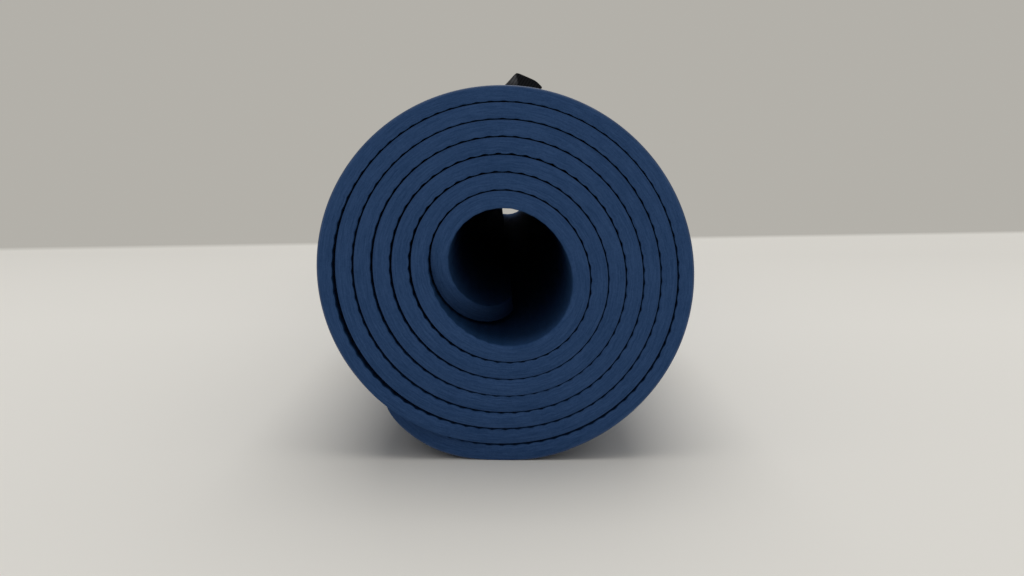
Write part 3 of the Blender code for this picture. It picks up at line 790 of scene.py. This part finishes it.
def make_mat():
    turn_table, length_table = sheet_table()
    sheet_length = float(length_table[-1])
    ribs = int(sheet_length / RIB_PITCH)
    mat, flat = finished("foam_mat", mat_blank(turn_table, length_table, ribs), FOAM, 50.0)
    along, across, height = flat.T
    width_share = across / MAT_WIDTH + 0.5
    depth = height / MAT_THICKNESS + 0.5
    from_end = np.minimum(along, sheet_length - along)
    from_side = (0.5 - np.abs(width_share - 0.5)) * MAT_WIDTH
    skewed = CORE_END_SKEW * width_share * smooth_step((along - sheet_length) / CORE_SKEW_REACH + 1)
    turn = np.interp(along - skewed, length_table, turn_table)
    from_core_end = turn - ROLL_TURNS
    core_share = smooth_step((turn - CORE_EDGE_START) / CORE_EDGE_TURNS)
    rim_share = smooth_step((RIM_END_TURN - turn) / RIM_FADE_TURNS) * smooth_step(turn / RIM_FADE_TURNS)

    worn = smooth_step((from_core_end + CORE_CORNER_TURNS) / CORE_CORNER_FADE_TURNS) * (1 - width_share)
    corner = corner_setback(from_end, part_way(CORNER_RADIUS, CORE_CORNER_RADIUS, worn))
    y = NEAR_END_Y + winding_setback(turn) + width_share * MAT_WIDTH + (1 - 2 * width_share) * corner
    y += SIDE_WAVE_SIZE * waves(along, SIDE_WAVES) * (1 - smooth_step(from_side / SIDE_WAVE_REACH))

    loose = smooth_step((OUTER_WAVE_END_TURN - turn) / OUTER_WAVE_FADE_TURNS)
    loose *= smooth_step(from_side / OUTER_WAVE_REACH)
    outer = outer_side(turn) - OUTER_WAVE_SIZE * np.abs(swell(along, across)) * loose
    outer = pressed_in(outer, turn, y) - corner_setback(from_side, RIM_RADIUS) * rim_share
    inner = inner_side(turn) - CORE_THICKER * smooth_step((from_core_end + 1) / THICKER_FADE_TURNS)
    inner -= turns_closer(turn) * smooth_step((-from_core_end - 1) / CLOSER_FADE_TURNS)
    relief = rib_height(along, sheet_length, ribs) * part_way(1.0, CORE_RIB_SHARE, core_share)
    relief += corner_setback(from_side, CORE_EDGE_RADIUS) * core_share
    radius = part_way(inner, outer, depth) + relief * (1 - depth)

    into_core = (DRIFT_OUTER_RADIUS - radius) / (DRIFT_OUTER_RADIUS - DRIFT_CORE_RADIUS)
    drift = np.outer(np.clip(into_core, 0.0, 1.0) * width_share, (CORE_DRIFT_X, CORE_DRIFT_Z))
    x, z = (polar(radius, turn_angle(turn)) + drift + roll_axis).T
    lifted = TABLE_ROUNDING * np.logaddexp(0.0, (z - TABLE_CLEAR) / TABLE_ROUNDING)
    move_to(mat, np.stack((x, y, np.where(z < TABLE_REACH, lifted, z)), axis=1))

    edge_reach = part_way(MAT_EDGE_RADIUS, CORE_EDGE_RADIUS, core_share * (1 - depth))
    edge_reach += (RIM_RADIUS - MAT_EDGE_RADIUS) * rim_share * depth
    keep(mat, "cut", np.clip(1 - np.minimum(from_side, from_end) / edge_reach, 0.0, 1.0))
    keep(mat, "rim", rim_share * depth * np.clip(5 * (1 - from_side / RIM_RADIUS), 0.0, 1.0))
    wear(mat, "roll", "foam", "mat_roll")


# Bands, tabs and rings

WEBBING_EDGE = 0.00042
TAPE_EDGE = 0.0002
TAPE_WIDTH = WEBBING_WIDTH - 2 * PATCH_MARGIN
WEBBING_SECTION = (WEBBING_WIDTH, WEBBING_THICKNESS, WEBBING_EDGE)
HOOK_SECTION = (TAPE_WIDTH, HOOK_THICKNESS, TAPE_EDGE)
LOOP_SECTION = (TAPE_WIDTH, LOOP_THICKNESS, TAPE_EDGE)
HOOK_PITCH = 0.0015
HOOK_HEIGHT = 0.00030
HOOK_STEM = 0.00011
HOOK_HEAD = 0.00024
HOOK_ROOT = 0.00006
PILE_PITCH = 0.0011
PILE_HEIGHT = 0.00030
PILE_SPAN = 0.0011
PILE_THICKNESS = 0.00013
PILE_STEPS = 5
SHAKE_SHARE = 0.12
RUN_STEPS = 260
WRAP_STEPS = 14
EYE_STEPS = 10
TAB_STEP = 0.0015
TAB_BEND = 0.008
RING_STEPS = 120
RING_ROUND_STEPS = 20
RING_CORNER_STEPS = 8


def wrap_points(bar_along, towards):
    """Half a turn round a bar, from over it to under it, on the side towards the slot."""
    centre = path.place(bar_along, bar_height)
    outward = path.normal(bar_along)
    ahead = np.array((-outward[1], outward[0])) * towards
    angles = np.linspace(math.pi / 2, -math.pi / 2, WRAP_STEPS + 1)
    return centre + wrap_radius * (np.outer(np.cos(angles), ahead) + np.outer(np.sin(angles), outward))


def mark_cuts(piece, flat, start_cut, end_cut):
    """Keep how far each point lies from the nearer end of the strip that is a cut one."""
    along = flat[:, 0]
    from_start = along if start_cut else math.inf
    from_end = along.max() - along if end_cut else math.inf
    keep(piece, "from_cut", np.minimum(from_start, from_end))


def strip(side, part, route, end_along, material, section, cuts=(True, True)):
    """A strip laid along a route, with its upper side outward over the band at end_along."""
    width, thickness, edge = section
    reach = float(lengths(route)[-1])
    bm = blank(reach, width, thickness, len(route) - 1, edge, 3, 8)
    piece, flat = finished(f"{side}_{part}", bm, material)
    mark_cuts(piece, flat, *cuts)
    move_to(piece, lay_along(flat, route, band_y(side), path.normal(end_along)))
    return piece


def make_band(side):
    slope_start = eye_along + EYE_SLOPE_LENGTH
    tail = np.linspace(slope_start + EYE_TAIL_LENGTH, slope_start, EYE_STEPS, endpoint=False)
    slope = np.linspace(EYE_SLOPE_LENGTH, 0, EYE_STEPS, endpoint=False)
    drop = smooth_step(slope / EYE_SLOPE_LENGTH)
    run = np.linspace(eye_along, fold_along + path.length, RUN_STEPS + 1)[1:]
    route = np.vstack((
        path.place(tail, sewn_height),
        path.place(eye_along + slope, part_way(fold_height, sewn_height, drop)),
        wrap_points(eye_along, -1),
        path.place(run, band_height)))
    band = strip(side, "band_webbing", route, fold_along, WEBBING, WEBBING_SECTION, (True, False))
    wear(band, "roll", "webbing", side + "_band")


def tab_points(start, end, height=None):
    """Points along a tab or a tape. With no height given, they come down from the fold."""
    past = np.linspace(start, end, max(3, math.ceil((end - start) / TAB_STEP) + 1))
    if height is None:
        height = part_way(fold_height, tab_height, smooth_step(past / TAB_SLOPE_LENGTH))
    return path.place(fold_along - past, height)


def world(xz, y):
    x, z = xz + roll_axis
    return Vector((x, y, z))


def make_tab(side):
    """The tab and its tapes. The fold round the ring's bar is one length with the tab."""
    route = np.vstack((wrap_points(fold_along, 1)[:0:-1], tab_points(0.0, TAB_LENGTH)))
    tab = strip(side, "tab_webbing", route, fold_along - TAB_LENGTH, WEBBING, WEBBING_SECTION,
                (False, True))
    wear(tab, None, "webbing", side + "_tab")
    start = world(path.place(fold_along, fold_height), band_y(side))
    end = world(path.place(fold_along - TAB_BEND, fold_height), band_y(side))
    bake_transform(tab)

    loop_end = LOOP_START + LOOP_LENGTH
    route = tab_points(LOOP_START, loop_end, loop_height)
    loop = strip(side, "loop_tape", route, fold_along - loop_end, LOOP_TAPE, LOOP_SECTION)
    wear(loop, "roll", "loop_tape", side + "_loop_patch")
    hook_end = HOOK_START + HOOK_LENGTH
    route = tab_points(HOOK_START, hook_end, hook_height)
    hook = strip(side, "hook_tape", route, fold_along - hook_end, HOOK_TAPE, HOOK_SECTION)
    wear(hook, side + "_tab", "hook_tape", side + "_hook_patch")
    make_hooks(side)
    make_pile(side)


def shape_of(name, bm):
    shape = bpy.data.meshes.new(name)
    bm.to_mesh(shape)
    bm.free()
    return shape


def copies(name, shape, material, places):
    """One piece of many copies of a small shape, each moved to its own place."""
    bm = bmesh.new()
    for _ in places:
        bm.from_mesh(shape)
    bmesh.ops.recalc_face_normals(bm, faces=bm.faces)
    piece, flat = finished(name, bm, material)
    turned = np.array([place.to_3x3() for place in places])
    middles = np.array([place.translation for place in places])
    each = flat.reshape(len(places), -1, 3)
    move_to(piece, np.einsum("nij,nvj->nvi", turned, each) + middles[:, None, :])
    return piece


def on_band(side, along, across, height, turn, outward):
    """A place on a band: x along it, z outward or, for -1, towards the mat."""
    up_x, up_z = (float(value) * outward for value in path.normal(along))
    up = Vector((up_x, 0.0, up_z))
    ahead = Vector((0.0, 1.0, 0.0)).cross(up)
    upright = Matrix((ahead, up.cross(ahead), up)).transposed()
    place = (upright @ Matrix.Rotation(turn, 3, "Z")).to_4x4()
    place.translation = world(path.place(along, height), band_y(side) + across)
    return place


def tape_grid(start, length, pitch, seed):
    """Staggered places on a tape, each a little out of line."""
    width = TAPE_WIDTH - 2 * pitch
    rows = int((length - 2 * pitch) / pitch)
    columns = int(width / pitch)
    shake = np.random.default_rng(seed)
    for row in range(rows):
        for column in range(columns):
            along = fold_along - start - pitch * (row + 1.2)
            across = width * ((column + 0.25 + 0.5 * (row % 2)) / columns - 0.5)
            nudge = shake.uniform(-SHAKE_SHARE, SHAKE_SHARE, 2) * pitch
            yield along + nudge[0], across + nudge[1], shake.uniform(0, math.tau)


def make_hooks(side):
    """The mushroom hooks that face the loop tape."""
    bm = bmesh.new()
    stem = HOOK_HEIGHT * 0.7 + HOOK_ROOT
    cap = HOOK_HEIGHT * 0.4
    for foot, top, depth, middle in ((HOOK_STEM * 1.5, HOOK_STEM, stem, stem / 2 - HOOK_ROOT),
                                     (HOOK_HEAD, HOOK_STEM, cap, HOOK_HEIGHT - cap / 2)):
        bmesh.ops.create_cone(bm, cap_ends=True, segments=6, radius1=foot, radius2=top, depth=depth,
                              matrix=Matrix.Translation((0, 0, middle)))
    face = hook_height - HOOK_THICKNESS / 2
    places = [on_band(side, along, across, face, turn, -1)
              for along, across, turn in tape_grid(HOOK_START, HOOK_LENGTH, HOOK_PITCH, 11)]
    hooks = copies(side + "_hooks", shape_of("hook", bm), HOOK_TAPE, places)
    wear(hooks, side + "_tab", "hook_tape")


def make_pile(side):
    """The pile of small loops that the hooks hold."""
    bm = bmesh.new()
    bmesh.ops.create_cone(bm, cap_ends=True, segments=3, radius1=PILE_THICKNESS / 2,
                          radius2=PILE_THICKNESS / 2, depth=1.0)
    upright = [edge for edge in bm.edges if edge.calc_length() > 0.9]
    bmesh.ops.subdivide_edges(bm, edges=upright, cuts=PILE_STEPS - 1)
    for vert in bm.verts:
        arc = math.pi * (vert.co.z + 0.5)
        reach = PILE_HEIGHT + vert.co.x
        vert.co = (PILE_SPAN / 2 * math.cos(arc) * reach / PILE_HEIGHT, vert.co.y,
                   reach * math.sin(arc) - HOOK_ROOT)
    face = loop_height + LOOP_THICKNESS / 2
    places = [on_band(side, along, across, face, turn, 1)
              for along, across, turn in tape_grid(LOOP_START, LOOP_LENGTH, PILE_PITCH, 23)]
    wear(copies(side + "_loop_pile", shape_of("loop", bm), LOOP_TAPE, places), "roll", "loop_tape")


def rounded_rectangle(half_length, half_width, radius):
    """Points round a rectangle with rounded corners, the last one the first again."""
    line = []
    for quarter in range(4):
        length_sign = 1 if quarter in (0, 3) else -1
        width_sign = 1 if quarter in (0, 1) else -1
        for step in range(RING_CORNER_STEPS + 1):
            angle = math.pi / 2 * (quarter + step / RING_CORNER_STEPS)
            line.append((length_sign * (half_length - radius) + radius * math.cos(angle),
                         width_sign * (half_width - radius) + radius * math.sin(angle)))
    return np.array(line + line[:1])


def make_ring(side):
    """A moulded rectangular ring: a round bar with soft corners."""
    eye_bar = path.place(eye_along, bar_height)
    fold_bar = path.place(fold_along, bar_height)
    middle = (eye_bar + fold_bar) / 2
    ahead = eye_bar - fold_bar
    half_length = float(np.linalg.norm(ahead)) / 2
    ahead = ahead / (2 * half_length)
    up = np.array((ahead[1], -ahead[0]))
    half_width = WEBBING_WIDTH / 2 + RING_SIDE_CLEARANCE + bar_radius
    loop = respaced(rounded_rectangle(half_length, half_width, RING_CORNER_RADIUS), RING_STEPS)
    out = loop_normals(loop)
    bm = bmesh.new()
    bmesh.ops.create_grid(bm, x_segments=RING_STEPS, y_segments=RING_ROUND_STEPS, size=0.5)
    for vert in bm.verts:
        step = round((vert.co.x + 0.5) * RING_STEPS) % RING_STEPS
        turn = (vert.co.y + 0.5) * math.tau
        by_length, by_width = loop[step] + out[step] * (bar_radius * math.cos(turn))
        x, z = middle + ahead * by_length + up * (bar_radius * math.sin(turn)) + roll_axis
        vert.co = (x, band_y(side) + by_width, z)
    bmesh.ops.remove_doubles(bm, verts=bm.verts, dist=1e-6)
    bmesh.ops.recalc_face_normals(bm, faces=bm.faces)
    piece, _ = finished(side + "_ring_moulding", bm, RING_PLASTIC)
    wear(piece, "roll", "ring_plastic", side + "_ring")


# Handle

# The crest stands a little higher and is more sharply folded than in the CAD, and its
# right edge bends down once more
CREST_RISE = 0.0250
CREST_LEAN = 0.0105
CREASE_RADIUS = 0.0006
FLANK_WIDTH = 0.0078
FLANK_SLOPE = math.radians(63.7)
RIGHT_SLOPE = math.radians(24.1)
EDGE_BEND = 0.0121
EDGE_BEND_RADIUS = 0.0008
EDGE_SLOPE = math.radians(48)
HANDLE_STEPS = 110
HANDLE_ACROSS_STEPS = 36

# A painted grey sheen lies on the handle's left flank, wider towards its ends
PAINTED_SHEEN_REACH = 0.130
PAINTED_SHEEN_FADE = 0.04
PAINTED_SHEEN_BLUR = 0.0012
PAINTED_SHEEN_WIDER = 0.0042
WIDER_START = 0.05
WIDER_FADE = 0.06

ridge = FLANK_WIDTH - WEBBING_WIDTH / 2


def handle_surface(across, y):
    """Middle of the handle's webbing at a place across it and along the roll."""
    half_span = BAND_SPACING / 2 - WEBBING_WIDTH / 2 + HANDLE_STITCH_INSET
    from_middle = np.minimum(np.abs(y - MIDDLE_Y) / half_span, 1.0)
    raised = np.cos(math.pi / 2 * from_middle)[:, None]
    sewn = path.place(top_along - across, sewn_height)
    off_ridge = across - ridge
    left = smooth_step(0.5 - off_ridge / (4 * CREASE_RADIUS))
    slope = part_way(RIGHT_SLOPE, FLANK_SLOPE, left)
    from_ridge = np.sqrt(off_ridge ** 2 + CREASE_RADIUS ** 2) - CREASE_RADIUS
    past_bend = EDGE_BEND_RADIUS * np.logaddexp(0.0, (off_ridge - EDGE_BEND) / EDGE_BEND_RADIUS)
    over = off_ridge * np.cos(slope) + past_bend * (math.cos(EDGE_SLOPE) - math.cos(RIGHT_SLOPE))
    drop = from_ridge * np.sin(slope) + past_bend * (math.sin(EDGE_SLOPE) - math.sin(RIGHT_SLOPE))
    top_x, top_z = path.place(top_along, sewn_height)
    creased = np.stack((top_x + ridge + CREST_LEAN + over, top_z + CREST_RISE - drop), axis=1)
    x, z = (part_way(sewn, creased, raised) + roll_axis).T
    return np.stack((x, y, z), axis=1)


def handle_normal(across, y):
    step = 0.0002
    by_width = handle_surface(across + step, y) - handle_surface(across - step, y)
    by_length = handle_surface(across, y + step) - handle_surface(across, y - step)
    return unit(np.cross(by_width, by_length))


def make_handle():
    """Two halves, which meet in the middle, each from there to its band."""
    half_length = BAND_SPACING / 2 + WEBBING_WIDTH / 2
    axis_x, axis_z = (float(value) for value in path.place(top_along, sewn_height) + roll_axis)
    for side, sign in SIDES.items():
        bm = blank(half_length, WEBBING_WIDTH, WEBBING_THICKNESS, HANDLE_STEPS, WEBBING_EDGE, 3,
                   HANDLE_ACROSS_STEPS)
        piece, flat = finished(side + "_handle_webbing", bm, WEBBING)
        mark_cuts(piece, flat, False, True)
        out, across, height = flat.T
        y = MIDDLE_Y + sign * out
        move_to(piece, handle_surface(across, y) + handle_normal(across, y) * height[:, None])
        # Where the painted sheen lies: the left flank, near the middle, wider towards the ends
        wider = PAINTED_SHEEN_WIDER * smooth_step((out - WIDER_START) / WIDER_FADE)
        on_flank = smooth_step((ridge + wider - across) / PAINTED_SHEEN_BLUR + 0.5)
        keep(piece, "painted_sheen", on_flank * smooth_step((PAINTED_SHEEN_REACH - out) / PAINTED_SHEEN_FADE))
        if sign < 0:
            piece.data.flip_normals()
        crown = ["handle_crown"] if side == "near" else []
        wear(piece, None, "webbing", f"handle_{side}_leg", *crown)
        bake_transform(piece)


# Seams

STITCH_LENGTH = 0.0026
STITCH_GAP = 0.0006
STITCH_LIFT = 0.00008
THREAD_THICKNESS = 0.00055
CROSS_INSET = 0.0012


def stitch_shape():
    bm = bmesh.new()
    bmesh.ops.create_uvsphere(bm, u_segments=8, v_segments=6, radius=0.5)
    lengthwise = Matrix.Rotation(math.pi / 2, 3, "Y")
    bmesh.ops.rotate(bm, verts=bm.verts, cent=(0, 0, 0), matrix=lengthwise)
    bmesh.ops.scale(bm, verts=bm.verts, vec=(STITCH_LENGTH, THREAD_THICKNESS, THREAD_THICKNESS * 0.8))
    return shape_of("stitch", bm)


def seam_lines(length, width, crossed):
    """The lines of a box seam, with its cross if it has one."""
    a, b = length / 2, width / 2
    lines = [((-a, -b), (a, -b)), ((a, -b), (a, b)), ((a, b), (-a, b)), ((-a, b), (-a, -b))]
    if crossed:
        a, b = a - CROSS_INSET, b - CROSS_INSET
        lines += [((-a, -b), (a, b)), ((-a, b), (a, -b))]
    return lines


def stitch_places(lines, centre_along, centre_y, surface_height):
    """Places of stitches over the webbing, each let into it at both ends."""
    def place(a, b, height):
        return world(path.place(centre_along + a, surface_height + height), centre_y + b)

    for (a0, b0), (a1, b1) in lines:
        reach = math.hypot(a1 - a0, b1 - b0)
        count = max(2, round(reach / (STITCH_LENGTH + STITCH_GAP)))
        da, db = (a1 - a0) / reach * MM, (b1 - b0) / reach * MM
        for step in range(count):
            share = (step + 0.5) / count
            a, b = part_way(a0, a1, share), part_way(b0, b1, share)
            ahead = (place(a + da, b + db, 0.0) - place(a - da, b - db, 0.0)).normalized()
            up = (place(a, b, MM) - place(a, b, 0.0)).normalized()
            across = up.cross(ahead).normalized()
            turned = Matrix((ahead, across, ahead.cross(across))).transposed().to_4x4()
            turned.translation = place(a, b, STITCH_LIFT)
            yield turned


def make_seams(side, stitch):
    across = WEBBING_WIDTH - 2 * SEAM_INSET
    tail_middle = eye_along + EYE_SLOPE_LENGTH + EYE_TAIL_LENGTH / 2
    hooks_middle = fold_along - HOOK_START - HOOK_LENGTH / 2
    seams = (
        ("eye", tail_middle, EYE_TAIL_LENGTH - SEAM_INSET, across, sewn_height, True, "roll"),
        ("tab", hooks_middle, HOOK_LENGTH - SEAM_INSET, across, tab_height, False, side + "_tab"),
        ("handle", top_along, across, across - HANDLE_STITCH_INSET, sewn_height, True, "roll"))
    for part, middle, length, width, height, crossed, body in seams:
        lines = seam_lines(length, width, crossed)
        places = list(stitch_places(lines, middle, band_y(side), height + WEBBING_THICKNESS / 2))
        seam = copies(f"{side}_{part}_seam", stitch, THREAD, places)
        wear(seam, body, "thread", f"{side}_{part}_stitch")


make_mat()
stitch = stitch_shape()
for side in SIDES:
    make_band(side)
    make_tab(side)
    make_ring(side)
    make_seams(side, stitch)
make_handle()


# Surroundings, light and camera

WALL_COLOUR = colour(0.451, 0.435, 0.398)
AMBIENT_COLOUR = colour(0.366, 0.370, 0.380)
FLOOR_HALF_SIZE = 4.0
FLOOR_NEAR = colour(0.762, 0.736, 0.679)
FLOOR_FAR = colour(0.688, 0.664, 0.611)
FLOOR_NEAR_Y = -0.05
FLOOR_FAR_Y = 0.35
FLOOR_EDGE_Y = 0.490
FLOOR_EDGE_SLOPE = 0.1836
FLOOR_EDGE_BLUR = 0.045
SOFTBOX_SIZE = 4.2
SENSOR_WIDTH_MM = 36.0
LENS_MM = 34.45
CAMERA_RIGHT = 0.00225
CAMERA_BACK = 0.3232
CAMERA_HEIGHT = 0.1049
CAMERA_DOWN_DEGREES = 7.993


def seen_rays(nodes):
    """One for what the camera sees, by itself or in gloss or glass."""
    light_path = nodes.add("ShaderNodeLightPath", None, None, None)
    named = {signal.socket.name: signal for signal in light_path}
    return named["Is Camera Ray"] + named["Is Glossy Ray"] + named["Is Transmission Ray"]


def make_floor():
    """A pale floor, which past its far edge is seen as wall but lights like floor."""
    bm = bmesh.new()
    bmesh.ops.create_grid(bm, x_segments=1, y_segments=1, size=FLOOR_HALF_SIZE)
    finish = Finish("floor", Metallic=0.0, Roughness=0.85, Specular_IOR_Level=0.02)
    x, y, _ = finish.axes(finish.add("ShaderNodeTexCoord", None, None, "Object"))
    # Painted shade: the floor is painted darker towards the back
    farther = finish.fit(y, FLOOR_NEAR_Y, FLOOR_FAR_Y)
    finish.set(Base_Color=finish.between(farther, FLOOR_NEAR, FLOOR_FAR))
    beyond = finish.fit(y - x * FLOOR_EDGE_SLOPE, FLOOR_EDGE_Y, FLOOR_EDGE_Y + FLOOR_EDGE_BLUR)
    wall = finish.add("ShaderNodeEmission", None, {"Color": WALL_COLOUR, "Strength": 1.0})
    mixed = finish.add("ShaderNodeMixShader", None, {
        0: beyond * seen_rays(finish), 1: finish.shader_signal(), 2: wall})
    finish.feed(finish.tree.nodes["Material Output"].inputs["Surface"], mixed)
    piece, _ = finished("floor", bm, finish.material)


def make_world():
    world_data = bpy.data.worlds.new("studio")
    bpy.context.scene.world = world_data
    world_data.use_nodes = True
    nodes = Nodes(world_data.node_tree)
    background = nodes.tree.nodes["Background"].inputs
    nodes.feed(background["Color"], nodes.between(seen_rays(nodes), AMBIENT_COLOUR, WALL_COLOUR))
    nodes.feed(background["Strength"], 1.0)


def softbox(name, place, power):
    """A square lamp turned towards the object."""
    lamp = bpy.data.lights.new(name, "AREA")
    lamp.size = SOFTBOX_SIZE
    lamp.energy = power
    turned = Vector(place).to_track_quat("Z", "Y").to_matrix().to_4x4()
    linked(name, lamp).matrix_world = Matrix.Translation(place) @ turned


def make_camera():
    lens = bpy.data.cameras.new("camera")
    lens.sensor_width = SENSOR_WIDTH_MM
    lens.lens = LENS_MM
    lens.clip_start = 0.01
    place = Matrix.Translation((ROLL_X + CAMERA_RIGHT, NEAR_END_Y - CAMERA_BACK, CAMERA_HEIGHT))
    tilt = Matrix.Rotation(math.radians(90 - CAMERA_DOWN_DEGREES), 4, "X")
    camera = linked("camera", lens)
    camera.matrix_world = place @ tilt
    bpy.context.scene.camera = camera


make_floor()
make_world()
softbox("overhead", (0.0, 0.0, 5.0), 110.0)
softbox("behind", (0.0, 3.6, 4.4), 74.0)
softbox("behind_right", (3.2, 3.2, 3.6), 37.0)
make_camera()
bpy.context.scene.view_settings.view_transform = "Standard"
